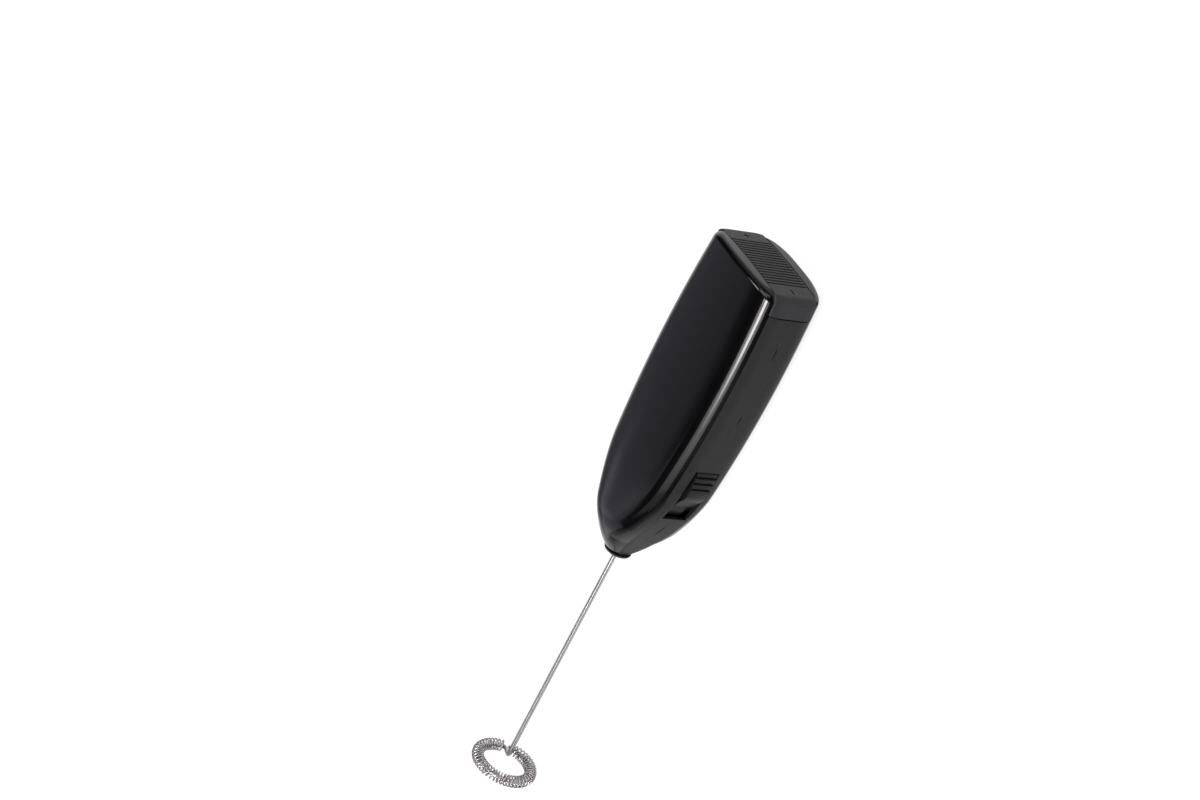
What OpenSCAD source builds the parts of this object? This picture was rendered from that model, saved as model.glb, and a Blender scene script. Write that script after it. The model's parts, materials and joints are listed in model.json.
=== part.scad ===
// Hand-held milk frother, battery driven: a barrel-shaped handle with a motor, two cells and a
// slide switch, and a wire whisk that spins on the handle's axis. It lies on its back.
// X runs from the whisk to the battery end, -Y is the switch side and +Z the front face.
// The origin is in the middle of the flat rest on the handle's back.

/* [Handle] */
// Length of the handle, from the nose tip to the crest of the battery cover
handle_len = 103; // [102.6:0.1:103.8]
// Width at the widest place
handle_w = 39.8; // [39.4:0.1:40.6]
// Thickness across the middle of the two broad faces
handle_t = 24; // [23.9:0.1:25]
// Radius of the long edges
edge_r = 7.5; // [6.5:0.1:8]
// How far the broad faces stand out over the long edges
crown = 1; // [0.8:0.05:1.1]
// Wall thickness of the two shells
wall = 1.8; // [1.6:0.05:1.85]
// Width of the flat rest along the back
rest_w = 12; // [8:0.5:13]

/* [Battery cover] */
// Width of the cover between the two rims
cover_w = 15; // [14.7:0.1:15.2]
// Length of the cover's skirt down the switch side
skirt_len = 6; // [5.4:0.1:6.3]
// Number of grip grooves across the cover
groove_count = 17; // [10:1:18]

/* [Switch] */
// Length of the switch window
window_len = 19.9; // [19.3:0.1:20.3]
// Width of the switch window
window_w = 8.6; // [8.2:0.1:9]
// Travel of the switch button
switch_travel = 4.5; // [3.5:0.1:4.7]

/* [Cells] */
// Diameter of one cell
cell_d = 14.2; // [13.8:0.1:14.3]
// Length of one cell, nub included
cell_len = 50.3; // [50:0.1:50.4]

/* [Whisk] */
// Diameter of the whisk wire
wire_d = 1.5; // [1.2:0.05:1.6]
// Distance from the nose tip to the plane of the whisk ring
ring_drop = 83.6; // [72:0.1:95]
// Radius of the wire circle in the whisk ring
ring_r = 8.7; // [7.8:0.1:9.2]
// Outside diameter of the coil that is threaded on the circle
coil_d = 4.1; // [3.7:0.1:4.4]
// Diameter of the coil's own wire
coil_wire_d = 0.5; // [0.4:0.05:0.55]
// Number of turns in the coil
coil_turns = 46; // [30:1:48]

/* [Hidden] */
$fn = 48;

nose_x = -handle_len / 2;      // the nose tip
axis_z = handle_t / 2;         // height of the whisk's axis over the rest
snug = 0.1;                    // gap between pieces that slide on each other
round_n = 5;                   // steps in each rounded edge
face_n = 8;                    // steps across each broad face

// ---- Outline of the handle. u is the distance from the nose tip. ----
widest_u = 0.687 * handle_len;
side_r = 324;                  // radius of the long sides seen from the front
nose_w_len = 32.9;             // where the nose starts to narrow
nose_w_pull = 0.72;            // how much of the width is gone at the tip
nose_t_len = 14.9;             // where the nose starts to thin
nose_t_pull = 0.67;            // how much of the thickness is gone at the tip
end_drop = 0.7;                // how far the battery end's dome falls at its sides
end_r = 1.7;                   // rounding of the battery end's rim at the broad faces
corner_r = 3.2;                // and at the narrow sides

function half_w(u) = (handle_w / 2 - pow(u - widest_u, 2) / (2 * side_r))
    * (1 - nose_w_pull * pow(max(0, 1 - u / nose_w_len), 1.9));
function half_t(u) = handle_t / 2 * (1 - nose_t_pull * pow(max(0, 1 - u / nose_t_len), 2));
function slope(u) = (half_w(u + 0.1) - half_w(u - 0.1)) / 0.2;
function end_u(y) = handle_len - end_drop * pow(y / end_half_w, 2);

end_half_w = half_w(handle_len);
full_face = handle_w / 2 - edge_r;

// Half of a cross-section, from the switch side over the broad face to the far side, as
// [y, z] points over the parting plane. flat is half the width of the flat band in the middle.
function half_section(w, t, r, flat, pitch) =
    let (
        reach = w - r + r * sin(pitch),
        band = min(flat, 0.45 * (w - r)),
        rise = (reach - band) * tan(pitch) / 2,
        arc_z = t - rise - r * cos(pitch),
        arc = [for (i = [0 : round_n])
            let (a = i * (90 - pitch) / round_n) [-(w - r) - r * cos(a), arc_z + r * sin(a)]],
        face = [for (i = [1 : face_n - 1])
            let (y = reach * (2 * i / face_n - 1), over = max(0, abs(y) - band))
            [y, t - rise * pow(over / (reach - band), 2)]],
        back = [for (i = [round_n : -1 : 0]) [-arc[i][0], arc[i][1]]]
    )
    concat([[-w, 0]], arc, face, back, [[w, 0]]);

// The section at u, moved inwards by inset, and by side_inset at the narrow sides
function shell_section(u, inset, flat, side_inset = 0) =
    let (w = half_w(u) - max(inset, side_inset), t = half_t(u) - inset,
         r = min(edge_r - inset, w - 0.05, t - 0.05),
         pitch = atan(2 * crown / (full_face - flat)))
    half_section(w, t, r, flat, pitch);

// A solid over a list of rings with the same number of points, the first and the last flat
function ring_faces(rings, n) = [
    for (i = [0 : rings - 2]) for (j = [0 : n - 1])
        let (a = i * n + j, b = i * n + (j + 1) % n) each [[a, b, b + n], [a, b + n, a + n]]];

module loft(rings, flip = false) {
    n = len(rings[0]);
    count = len(rings);
    faces = concat(
        [[for (j = [n - 1 : -1 : 0]) j]],
        ring_faces(count, n),
        [[for (j = [0 : n - 1]) (count - 1) * n + j]]);
    polyhedron(
        points = [for (ring = rings) each ring],
        faces = flip ? [for (f = faces) [for (k = [len(f) - 1 : -1 : 0]) f[k]]] : faces);
}

// Half of the handle's outside as a solid block; side is 1 for the front and -1 for the back
body_us = concat([for (i = [0 : 7]) i * 2], [for (u = [17.5 : 3.5 : 38.5]) u], [for (u = [46 : 9 : 91]) u]);
module half_body(side, flat) {
    along = [for (u = body_us)
        [for (p = shell_section(u, 0, flat)) [nose_x + u, p[0], side * p[1] + axis_z]]];
    rim = [for (i = [0 : round_n])
        let (a = i * 90 / round_n, fall = 1 - sin(a), inset = end_r * (1 - cos(a)),
             side_inset = corner_r * (1 - cos(a)), u = handle_len - corner_r * fall,
             core = half_w(u) - side_inset - edge_r + inset)
        [for (p = shell_section(u, inset, flat, side_inset))
            let (k = max(0, abs(p[0]) - core) / (edge_r - inset), r = end_r + (corner_r - end_r) * k * k)
            [nose_x + end_u(p[0]) - r * fall, p[0], side * p[1] + axis_z]]];
    // Inside the rim the end is closed by a flat plug, which the cover's slot cuts away
    last = shell_section(handle_len, end_r, flat, corner_r);
    lid = [for (p = last) let (y = 0.985 * p[0])
        [nose_x + end_u(y), y, side * min(p[1], cover_w / 2 - 0.4) + axis_z]];
    plug_x = lid[0][0] + 0.05;
    plug = [for (p = last) [plug_x, 0.97 * p[0], side * min(p[1], cover_w / 2 - 0.8) + axis_z]];
    loft(concat(along, rim, [lid], [plug]), side < 0);
}

// Half of the hollow inside the shells
cavity_u = [3.5, 5, 7, 9, 11, 13, 15, 17.5, 21, 24.5, 28, 31.5, 35, 38.5, 46, 55, 64, 73, 82, 91, 97.4];
module half_cavity(side, flat) {
    loft([for (u = cavity_u)
        [for (p = shell_section(u, wall, flat))
            [nose_x + u, p[0], p[1] == 0 ? axis_z - side : side * p[1] + axis_z]]], side < 0);
}

// ---- Switch: the window follows the chord of the side wall, and all of the switch is built on
// that chord, with X along the slide and +Y into the handle. ----
window_end_u = 42.35;
window_u = window_end_u - window_len * cos(9);
switch_angle = atan((half_w(window_end_u) - half_w(window_u)) / (window_end_u - window_u));
module at_switch() {
    chord_y = -(half_w(window_u) + half_w(window_end_u)) / 2;
    translate([nose_x + (window_u + window_end_u) / 2, chord_y, axis_z])
        rotate([0, 0, -switch_angle]) children();
}
// A block from low corner to high corner
module block(low, high) {
    translate(low) cube(high - low);
}
// A rod along X at height axis_z, from u0 to u1
module rod(u0, u1, r) {
    translate([nose_x + u0, 0, axis_z]) rotate([0, 90, 0]) cylinder(r = r, h = u1 - u0);
}
// A block by u, y and height over the axis
module bar(u0, u1, y0, y1, z0, z1) {
    block([nose_x + u0, y0, axis_z + z0], [nose_x + u1, y1, axis_z + z1]);
}

// ---- Shells ----
bore_r = 2.6;                  // hole in the nose that seats the collar
slot_w = cover_w + 0.3;        // slot between the rims that the cover closes
top_u = handle_len - 2.3;      // the floor that the cover's top lies on, at the far side
skirt_u = handle_len - end_drop - skirt_len;
groove_u = top_u + 0.05;       // the grooves that the cover's two tongues slide in
groove_len = 0.9;
groove_deep = 0.9;
plate_y = 1;                   // depth of the switch plate under the window's chord
plate_x = [-window_len / 2 + 0.7, window_len / 2 + switch_travel];    // the plate's two ends

module shell(side, flat) {
    difference() {
        half_body(side, flat);
        half_cavity(side, flat);
        rod(-1, 4, bore_r);
        // slot for the cover, and the drop of its skirt on the switch side
        bar(top_u, handle_len + 1, -end_half_w - 2, end_half_w + 2, -slot_w / 2, slot_w / 2);
        bar(97, top_u + 0.1, -end_half_w - 2, end_half_w - wall - 0.6, -slot_w / 2, slot_w / 2);
        bar(skirt_u - 0.25, 97.1, -end_half_w - 2, -end_half_w + 4, -slot_w / 2, slot_w / 2);
        bar(groove_u, groove_u + groove_len, -end_half_w - 2, end_half_w - wall - 1,
            -slot_w / 2 - groove_deep, slot_w / 2 + groove_deep);
        at_switch() {
            block([-window_len / 2, -3, -window_w / 2], [window_len / 2, 4, window_w / 2]);
            block([plate_x[0] - switch_travel - 0.4, plate_y - snug, -5.6], [plate_x[1] + 0.4, 5, 5.6]);
        }
    }
}
module front_shell() {
    color("#1c1c1e") shell(1, 0);
}
module rear_shell() {
    color("#1c1c1e") shell(-1, rest_w / 2);
}

// ---- Battery cover: a domed top and a skirt down the switch side ----
cover_r = 2.6;                 // rounding between its top and its two ends
// The cover's outline as [u, y], with its ends at -w and w
function cover_profile(w) =
    let (
        n = 6,
        core = w - cover_r,
        arc_u = end_u(core) - cover_r,
        tilt = (arc_u - skirt_u) * slope(handle_len - 1),
        over = [for (i = [0 : 2 * n]) let (y = core * (i / n - 1)) [end_u(y), y]],
        near = [for (i = [n : -1 : 1]) let (a = i * 90 / n)
            [arc_u + cover_r * cos(a), -core - cover_r * sin(a)]],
        far = [for (i = [1 : n - 2]) let (a = i * 90 / n)
            [arc_u + cover_r * cos(a), core + cover_r * sin(a)]],
        inner_y = -end_half_w + 2.2
    )
    concat([[skirt_u, -w + tilt]], near, over, far,
        [[top_u + 0.02, w - 0.3], [top_u + 0.02, inner_y], [skirt_u, inner_y]]);
// The outlines shrink towards the two rims as the shells' narrow sides do
module cover_block() {
    flat_z = handle_t / 2 - edge_r;
    zs = [for (k = [0, 0.3, 0.55, 0.78, 1]) flat_z + (cover_w / 2 - flat_z) * k];
    loft([for (z = concat([for (i = [4 : -1 : 0]) -zs[i]], zs))
        let (w = end_half_w - 0.02 - edge_r + sqrt(pow(edge_r, 2) - pow(abs(z) - flat_z, 2)))
        [for (p = cover_profile(w)) [nose_x + p[0], p[1], axis_z + z]]], true);
}
module battery_cover() {
    mark_y = end_half_w - 4.4;     // middle of each polarity mark
    rib_span = 2 * (end_half_w - 7.6);
    tongue_z = cover_w / 2 + groove_deep - 0.25;
    color("#1c1c1e") difference() {
        union() {
            cover_block();
            // a tongue along each edge
            bar(groove_u + snug, groove_u + groove_len - snug, -end_half_w + 3.6, end_half_w - wall - 1.2,
                -tongue_z, tongue_z);
        }
        for (i = [0 : groove_count - 1]) {
            y = rib_span * (i / (groove_count - 1) - 0.5);
            bar(end_u(y) - 0.35, handle_len + 1, y - 0.3, y + 0.3, -cover_w / 2 + 0.7, cover_w / 2 + 1);
        }
        // plus and minus
        for (s = [-1, 1])
            bar(handle_len - 1, handle_len + 1, s * mark_y - 1.1, s * mark_y + 1.1, -0.2, 0.2);
        bar(handle_len - 1, handle_len + 1, mark_y - 0.2, mark_y + 0.2, -1.1, 1.1);
    }
}

// ---- Nose collar: a lipped ring that ties the two shells together at the nose ----
module nose_collar() {
    hole_r = 1.7;
    lip_r = 4.35;
    lip = 0.9;
    color("#101011") translate([nose_x, 0, axis_z]) rotate([0, -90, 0]) rotate_extrude()
        polygon(concat(
            [[hole_r, -2.6], [bore_r - 0.03, -2.6], [bore_r - 0.03, 0], [lip_r, 0]],
            [for (a = [0 : 15 : 75]) [lip_r - lip + lip * cos(a), lip * sin(a)]],
            [[lip_r - lip, lip], [hole_r + 0.4, lip], [hole_r, lip - 0.4]]));
}

// ---- Inner frame: motor cheeks, bulkhead and battery tray in one moulding ----
bulk_u = 44.9;                 // the bulkhead between motor and cells
bulk = 1.5;
cell_u = 49.9;                 // where the cells start
cell_y = cell_d / 2 + 0.15;    // each cell's distance from the middle
flat_y = 7.55;                 // half the distance across the motor's flats
lead_y = 6.2;                  // where the battery leads pass the bulkhead
leaf_y = plate_y + 1;          // the leaf's place under the 1 mm switch plate
contact_y = leaf_y + 1.4;      // where its feet touch
strip_y = contact_y + 0.08;
strip = 0.4;
module inner_frame() {
    tray_end = 96.8;
    color("#3a3a3c") difference() {
        union() {
            // cheeks on the motor's flats, and a shelf behind the switch's two strips
            bar(18, bulk_u + 0.1, -flat_y - 1.5, flat_y + 1.5, -6.5, 6.5);
            at_switch() block([-8.4, strip_y + strip, -2.6], [8.8, 9.6, 2.6]);
            bar(bulk_u, bulk_u + bulk, -15.2, 15.2, -7, 7);
            // tray behind the cells, with a rib between them on both faces
            bar(bulk_u + 0.1, tray_end, -12.2, 12.2, -8.7, -cell_d / 2 - 0.15);
            bar(bulk_u + 0.1, tray_end, -0.7, 0.7, -8.6, -4.3);
            bar(bulk_u + 0.1, tray_end, -0.7, 0.7, 4.3, 8);
        }
        // room for the motor and its terminals
        bar(17, bulk_u - 0.01, -flat_y - snug, flat_y + snug, -7, 7);
        // way out for the leads to the switch, and their holes in the bulkhead
        bar(42, bulk_u - 0.01, -15, -flat_y, -1.2, 7);
        for (y = [-lead_y, lead_y])
            translate([nose_x + bulk_u - 1, y, axis_z]) rotate([0, 90, 0]) cylinder(r = 1.2, h = 4);
    }
}

// ---- Switch ----
// Height of the thumb piece over the window's chord, from the battery end towards the nose,
// with a small valley at the foot of each step
thumb = [[0, 0.25], [1.2, 0.4], [1.65, 0], [1.65, 0.95], [3.05, 1.05], [3.5, 0.65], [3.5, 1.5],
    [4.95, 1.6], [5.4, 1.2], [5.4, 2], [8, 2.1], [9.4, 1.85], [11.6, 0.85], [14.2, 0]];
thumb_len = 14.2;
module switch_button() {
    thumb_z = window_w / 2 - 0.75;
    color("#141416") at_switch() difference() {
        union() {
            translate([window_len / 2 - 0.15, 0, -thumb_z]) linear_extrude(2 * thumb_z)
                polygon(concat([for (p = thumb) [-p[0], -p[1]]],
                    [[-thumb_len, plate_y + 0.1], [0, plate_y + 0.1]]));
            block([plate_x[0], plate_y, -5.2], [plate_x[1], leaf_y, 5.2]);
        }
        // notch in the plate's rear corner
        block([plate_x[0] - 1, plate_y - 0.5, -6], [plate_x[0] + 2.6, 5, -2.5]);
    }
}
foot_x = [6, -2];              // the two feet of the leaf, along the slide
module switch_leaf() {
    color("#c8a24a") at_switch() {
        block([foot_x[1] - 0.6, leaf_y, -1.5], [foot_x[0] + 0.6, leaf_y + 0.3, 1.5]);
        for (x = foot_x) block([x - 0.6, leaf_y + 0.3, -1.5], [x + 0.6, contact_y, 1.5]);
    }
}
// Live strip, always under the first foot, and motor strip, reached when the button is on
module switch_terminals() {
    color("#c8a24a") at_switch() {
        block([0.8, strip_y, -2], [8.6, strip_y + strip, 4.6]);
        block([-8.2, strip_y, -2], [-3.4, strip_y + strip, 4.6]);
    }
}

// ---- Cells, side by side and opposed ----
// A cell with its nub towards +X when way is 1
module cell(y, way) {
    nub = 1.2;
    translate([nose_x + cell_u + (way > 0 ? 0 : cell_len), y, axis_z]) rotate([0, way * 90, 0]) {
        cylinder(d = cell_d, h = cell_len - nub);
        cylinder(d = 5.2, h = cell_len);
    }
}
module far_cell() {
    color("#9aa0a6") cell(cell_y, 1);
}
module near_cell() {
    color("#9aa0a6") cell(-cell_y, -1);
}

// ---- Battery contacts ----
// The cover's bridge joins the two cells
module cover_contact() {
    low = cell_u + cell_len + snug;
    sheet = 0.3;
    color("#d9d9d6") {
        bar(top_u - sheet, top_u, -12, 12, -3, 3);
        for (s = [-1, 1]) bar(low, top_u - sheet, s * cell_y - 1.6, s * cell_y + 1.6, -1.6, 1.6);
    }
}
// A tube of radius r along points; up is a direction never parallel to it
function unit(v) = v / norm(v);
module tube(points, r, sides, up) {
    n = len(points);
    loft([for (i = [0 : n - 1])
        let (t = unit(points[min(i + 1, n - 1)] - points[max(i - 1, 0)]),
             a = unit(cross(up, t)), b = cross(a, t))
        [for (k = [0 : sides - 1]) let (q = k * 360 / sides)
            points[i] + r * (a * cos(q) + b * sin(q))]]);
}
module negative_spring() {
    turns = 3.5;
    steps = 12;
    wire_r = 0.35;
    rise = cell_u - 0.05 - bulk_u - bulk - 2 * wire_r;
    last = turns * steps;
    color("#d9d9d6") tube([for (i = [0 : last])
        let (a = i * 360 / steps, r = 5 - 2.2 * i / last)
        [nose_x + bulk_u + bulk + wire_r + 0.05 + rise * i / last, cell_y + r * cos(a), axis_z + r * sin(a)]],
        wire_r, 6, [1, 0, 0]);
}
module positive_plate() {
    color("#d9d9d6") {
        bar(cell_u - 0.5, cell_u - 0.1, -cell_y - 4, -cell_y + 4, -4, 4);
        for (s = [-1, 1]) bar(bulk_u + bulk, cell_u - 0.5, -cell_y - 2, -cell_y + 2,
            s > 0 ? 3.6 : -4, s > 0 ? 4 : -3.6);
    }
}

// ---- Motor: a steel can with two flats, magnets, a wound three-pole armature and brush gear ----
can_u0 = 17;
can_u1 = 38.5;
cap_u1 = 42;
can_r = 10.05;
module flatted(u0, u1, r, half) {
    intersection() {
        rod(u0, u1, r);
        bar(u0 - 1, u1 + 1, -half, half, -r - 1, r + 1);
    }
}
shaft_r = 1;
bush_r = 2.2;
module motor_can() {
    color("#b4b7ba") difference() {
        union() {
            flatted(can_u0, can_u1, can_r, flat_y);
            rod(can_u0 - 1.6, can_u0 + 0.1, 3.1);
        }
        flatted(can_u0 + 1, can_u1 + 1, can_r - 0.5, flat_y - 0.5);
        rod(can_u0 - 2, can_u0 + 2, bush_r);
    }
}
module motor_end_cap() {
    color("#e8e4da") difference() {
        flatted(can_u1, cap_u1, can_r - 0.3, flat_y - 0.3);
        rod(can_u1 - 1, can_u1 + 2.6, bush_r);
    }
}
module bush(u0, u1) {
    difference() {
        rod(u0, u1, bush_r);
        rod(u0 - 1, u1 + 1, shaft_r + 0.04);
    }
}
module front_bearing() {
    color("#b08d57") bush(can_u0 - 1.6, can_u0 + 1);
}
module rear_bearing() {
    color("#b08d57") bush(can_u1, can_u1 + 2.6);
}
module motor_magnets() {
    color("#2b2b2e") difference() {
        flatted(21, 35, can_r - 0.5, 6.9);
        rod(20, 36, 7);
        bar(20, 36, -9, 9, -3, 3);
    }
}
module motor_brushes() {
    color("#c8a24a") for (s = [-1, 1]) {
        y = [for (k = [2.75, 4, 4.4]) s * k];
        bar(35, 37, min(y[0], y[1]), max(y[0], y[1]), -0.9, 0.9);
        bar(35, can_u1, min(y[1], y[2]), max(y[1], y[2]), -1.2, 1.2);
    }
}
terminal_y = 4.2;
module motor_terminals() {
    color("#c8a24a") for (s = [-1, 1])
        bar(cap_u1, cap_u1 + 1.6, s * terminal_y - 0.2, s * terminal_y + 0.2, -1.2, 1.2);
}
module motor_shaft() {
    color("#c9ccd0") rod(8.6, 41, shaft_r);
}
core_u0 = 22;
core_u1 = 32;
core_r = 6.6;
module armature_core() {
    color("#7d8186") difference() {
        union() {
            rod(core_u0, core_u1, 2.4);
            for (k = [0 : 2]) translate([0, 0, axis_z]) rotate([120 * k, 0, 0]) translate([0, 0, -axis_z]) {
                bar(core_u0, core_u1, 1.8, 6, -1.1, 1.1);
                intersection() {
                    difference() {
                        rod(core_u0, core_u1, core_r);
                        rod(core_u0 - 1, core_u1 + 1, core_r - 1.2);
                    }
                    bar(core_u0 - 1, core_u1 + 1, 3.6, 8, -4.4, 4.4);
                }
            }
        }
        rod(core_u0 - 1, core_u1 + 1, shaft_r);
    }
}
module armature_windings() {
    color("#b5652b") for (k = [0 : 2])
        translate([0, 0, axis_z]) rotate([120 * k, 0, 0]) translate([0, 0, -axis_z]) difference() {
            bar(core_u0 - 1.3, core_u1 + 1.3, 2.6, 4.7, -2.5, 2.5);
            bar(core_u0 - 0.05, core_u1 + 0.05, 2, 6, -1.15, 1.15);
        }
}
module commutator() {
    color("#c77b3f") difference() {
        rod(34.2, 37.8, 2.65);
        rod(34, 38, shaft_r);
        for (k = [0 : 2]) translate([0, 0, axis_z]) rotate([120 * k, 0, 0]) translate([0, 0, -axis_z])
            bar(34, 38, 1.6, 3, -0.15, 0.15);
    }
}
module thrust_washers() {
    color("#efe9d8") for (u = [18.2, 38]) difference() {
        rod(u, u + 0.4, 1.9);
        rod(u - 1, u + 1, shaft_r);
    }
}

// ---- Coupling and whisk ----
module shaft_coupling() {
    color("#f2f0ea") difference() {
        rod(4, 14, 2.4);
        rod(3, 8.4, wire_d / 2);
        rod(8.4, 15, shaft_r);
    }
}
ring_x = nose_x - ring_drop;
leg_turn = 70;                 // how far the wire bends at the foot of the shaft
leg_way = -30;                 // which way the leg points, round X from +Y
bend_r = 1.6;
leg_d = wire_d - 0.05;         // the leg and the bend are drawn a touch thinner than the ring
bend_d = wire_d - 0.1;         // so that no two round stretches share a surface
joint_lap = 0.15;              // how far the straight stretches run into the bend
leg_len = (ring_r - bend_r * (1 - cos(leg_turn))) / sin(leg_turn);
bend_x = ring_x + bend_r * sin(leg_turn) + leg_len * cos(leg_turn);
// Straight shaft, sharp bend, radial leg and a full circle of one wire
module whisk_shaft() {
    color("#d4d6d8") translate([0, 0, axis_z]) rotate([leg_way, 0, 0]) {
        translate([bend_x - joint_lap, 0, 0]) rotate([0, 90, 0])
            cylinder(d = wire_d, h = nose_x + 8.4 - bend_x + joint_lap);
        translate([bend_x, bend_r, 0]) rotate([0, 0, 270 - leg_turn])
            rotate_extrude(angle = leg_turn) translate([bend_r, 0]) circle(d = bend_d);
        translate([bend_x, bend_r, 0]) rotate([0, 0, -leg_turn]) translate([joint_lap, -bend_r, 0])
            rotate([0, -90, 0]) cylinder(d = leg_d, h = leg_len + joint_lap);
        translate([ring_x, 0, 0]) rotate([0, 90, 0])
            rotate_extrude() translate([ring_r, 0]) circle(d = wire_d);
    }
}
// Open coil threaded on the circle; its two ends meet at the leg
module whisk_coil() {
    r = (coil_d - coil_wire_d) / 2;
    gap = asin((wire_d / 2 + coil_wire_d / 2 + 0.05) / ring_r);
    steps = 10;
    last = coil_turns * steps;
    points = [for (i = [0 : last])
        let (a = leg_way + gap + (360 - 2 * gap) * i / last, q = i * 360 / steps,
             out = [0, cos(a), sin(a)])
        [ring_x, 0, axis_z] + (ring_r + r * cos(q)) * out + [r * sin(q), 0, 0]];
    color("#b9b4b2") coil_tube(points, coil_wire_d / 2, 6, steps);
}
module coil_tube(points, r, sides, steps) {
    n = len(points);
    loft([for (i = [0 : n - 1])
        let (t = unit(points[min(i + 1, n - 1)] - points[max(i - 1, 0)]),
             p = points[i] - [ring_x, 0, axis_z],
             hub = ring_r * unit([0, p[1], p[2]]),
             a = unit(cross(p - hub, t)), b = cross(a, t))
        [for (k = [0 : sides - 1]) let (q = k * 360 / sides) points[i] + r * (a * cos(q) + b * sin(q))]]);
}

// ---- Leads ----
lead_r = 0.6;
lead_steps = 5;
// Smooth curve through hand-placed points
function spline(p) = concat([for (i = [0 : len(p) - 2]) for (k = [0 : lead_steps - 1])
    let (s = k / lead_steps, a = p[max(i - 1, 0)], b = p[i], c = p[i + 1], d = p[min(i + 2, len(p) - 1)])
    0.5 * (2 * b + (c - a) * s + (2 * a - 5 * b + 4 * c - d) * s * s + (3 * b - a - 3 * c + d) * s * s * s)],
    [p[len(p) - 1]]);
module lead(route, shade) {
    color(shade) tube(spline([for (p = route) [nose_x + p[0], p[1], axis_z + p[2]]]), lead_r, 8, [0, 0.3, 1]);
}
module negative_lead() {
    lead([[46.3, lead_y, 0], [44.9, lead_y, 0], [44.1, 6, 0], [43, 5.1, 0]], "#1f2226");
}
module positive_lead() {
    lead([[46.3, -lead_y, 0], [44.6, -6.3, 0], [43.7, -7.6, 0.6], [43.4, -9.8, 2], [42, -12.9, 3.5],
        [39.3, -13.58, 3.7]], "#a8201a");
}
module switch_lead() {
    lead([[43, -5.1, 0], [43.4, -6.4, 3], [43.3, -8.6, 4.7], [41, -10.2, 4.9], [34, -11.1, 4.3],
        [28.1, -11.54, 3.7]], "#a8201a");
}

front_shell();
rear_shell();
battery_cover();
nose_collar();
inner_frame();
switch_button();
switch_leaf();
switch_terminals();
far_cell();
near_cell();
cover_contact();
negative_spring();
positive_plate();
motor_can();
motor_end_cap();
front_bearing();
rear_bearing();
motor_magnets();
motor_brushes();
motor_terminals();
motor_shaft();
armature_core();
armature_windings();
commutator();
thrust_washers();
shaft_coupling();
whisk_shaft();
whisk_coil();
negative_lead();
positive_lead();
switch_lead();
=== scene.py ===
import json
import math

import bmesh
import bpy
import numpy as np
from mathutils import Matrix, Vector
from mathutils.kdtree import KDTree


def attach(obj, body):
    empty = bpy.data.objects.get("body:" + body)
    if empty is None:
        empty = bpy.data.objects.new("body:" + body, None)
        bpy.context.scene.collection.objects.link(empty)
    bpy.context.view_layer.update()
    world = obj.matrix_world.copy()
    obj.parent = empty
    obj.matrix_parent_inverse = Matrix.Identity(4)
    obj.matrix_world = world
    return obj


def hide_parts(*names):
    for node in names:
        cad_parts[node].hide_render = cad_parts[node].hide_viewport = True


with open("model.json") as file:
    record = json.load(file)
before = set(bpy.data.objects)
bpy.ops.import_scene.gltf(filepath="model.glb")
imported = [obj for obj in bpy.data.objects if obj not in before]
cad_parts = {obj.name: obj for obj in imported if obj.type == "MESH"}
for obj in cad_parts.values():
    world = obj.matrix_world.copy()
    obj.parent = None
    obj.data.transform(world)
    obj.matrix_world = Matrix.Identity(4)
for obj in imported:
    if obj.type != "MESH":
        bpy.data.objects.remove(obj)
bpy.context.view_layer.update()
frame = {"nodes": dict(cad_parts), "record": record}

# ---------------------------------------------------------------------------------------------
# Sizes of the CAD part, in millimetres. u is the distance from the nose tip.
# ---------------------------------------------------------------------------------------------
MM = 0.001
HANDLE_LEN = 103.0
HANDLE_W = 39.8
HANDLE_T = 24.0
EDGE_R = 7.5
CROWN = 1.0
WALL = 1.8
BORE_R = 2.6                    # of the hole in the nose
REST_HALF = 6.0
COVER_W = 15.0
SKIRT_LEN = 6.0
GROOVES = 17
WINDOW_LEN = 19.9
WINDOW_W = 8.6
WINDOW_END = 42.35
SWITCH_TRAVEL = 4.5
PLATE_Y = 1.0                   # depth of the sliding plate under the window, in the switch's own frame
SNUG = 0.1                      # gap between pieces that slide on each other
PLATE_X = (-WINDOW_LEN / 2 + 0.7, WINDOW_LEN / 2 + SWITCH_TRAVEL)
WIRE_D = 1.5
RING_DROP = 83.6
RING_R = 8.7
COIL_D = 4.1
COIL_WIRE_D = 0.5
COIL_TURNS = 46

NOSE_X = -HANDLE_LEN / 2
AXIS_Z = HANDLE_T / 2
WIDEST = 0.687 * HANDLE_LEN
SIDE_R = 324.0
NOSE_W_LEN, NOSE_W_PULL = 32.9, 0.72
NOSE_T_LEN, NOSE_T_PULL = 14.9, 0.67
END_DROP = 0.7
END_R = 1.7
CORNER_R = 3.2
SKIN = 0.02                     # the looks lie this far under the CAD's surface
HALF_MATTE = 7.3 / 12           # share of the half thickness that the matte side band takes
MATTE_NARROWS = 30.0            # u from which the band narrows towards the nose,
MATTE_NARROW_LEN = 12.0         # over this length
MATTE_NARROW_BY = 0.25          # and by this share
MATTE_NARROW_POWER = 0.8


def half_w(u):
    taper = np.maximum(0, 1 - u / NOSE_W_LEN) ** 1.9
    return (HANDLE_W / 2 - (u - WIDEST) ** 2 / (2 * SIDE_R)) * (1 - NOSE_W_PULL * taper)


def half_t(u):
    return HANDLE_T / 2 * (1 - NOSE_T_PULL * np.maximum(0, 1 - u / NOSE_T_LEN) ** 2)


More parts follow.
